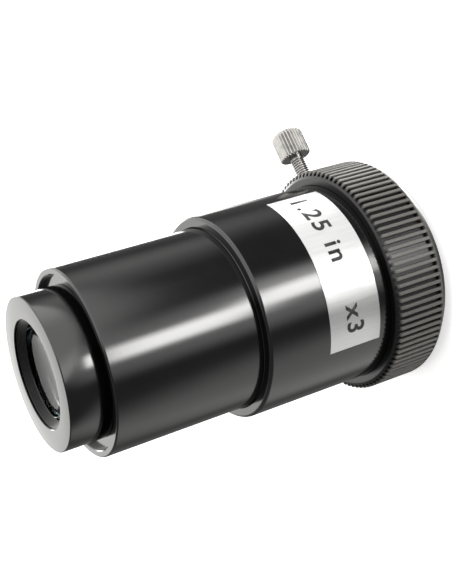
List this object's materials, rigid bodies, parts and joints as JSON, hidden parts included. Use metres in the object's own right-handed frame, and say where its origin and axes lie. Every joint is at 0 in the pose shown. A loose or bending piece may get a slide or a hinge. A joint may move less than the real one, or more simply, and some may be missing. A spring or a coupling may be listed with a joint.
{
  "type": "barlow lens",
  "caption": "Black anodised telescope barlow: recessed lens cell, 1.25 inch nosepiece, body tube with a foil label, and a knurled eyepiece collar with a clamp screw.",
  "frame": {"origin": "centre of the eyepiece socket's mouth, on the knurled collar's rear face", "axes": "+Z along the optical axis towards the lens, +X along the clamp screw, the label faces -Y"},
  "size_m": [0.0502, 0.0402, 0.068],
  "materials": {
    "black_anodised": "gloss black anodised",
    "matt_black": "matt black anodised, against stray light",
    "shim": "thin black plastic",
    "optical_glass": "polished and coated",
    "foil_label": "silver foil film with black print",
    "bright_nickel": "bright nickel plate",
    "nylon": "natural nylon"
  },
  "bodies": {
    "barrel": {"knurled_collar": "black_anodised", "body_tube": "black_anodised", "nosepiece_tube": "black_anodised", "glare_baffle": "matt_black", "cell_mount_ring": "black_anodised", "body_label": "foil_label"},
    "front_cell": {"lens_cell": "black_anodised", "lens_retaining_ring": "matt_black", "lens_seat_ring": "shim", "crown_lens": "optical_glass", "flint_lens": "optical_glass"},
    "screw_pad": {"thumbscrew_pad": "nylon"},
    "thumbscrew": {"thumbscrew_stud": "bright_nickel", "thumbscrew_head": "bright_nickel"}
  },
  "joints": [
    {"name": "lens_cell_unscrew", "type": "slide", "parent": "barrel", "child": "front_cell", "axis": [0, 0, 1], "range_m": [0, 0.012]},
    {"name": "thumbscrew_advance", "type": "slide", "parent": "barrel", "child": "screw_pad", "axis": [-1, 0, 0], "range_m": [-0.00225, 0.00405]},
    {"name": "thumbscrew_turn", "type": "hinge", "parent": "screw_pad", "child": "thumbscrew", "pos_m": [0, 0, 0.0067], "axis": [-1, 0, 0], "range_deg": [-1805, 3250]}
  ],
  "couplings": [
    {"joint": "thumbscrew_turn", "follows": "thumbscrew_advance", "rad_per_m": 13963}
  ]
}
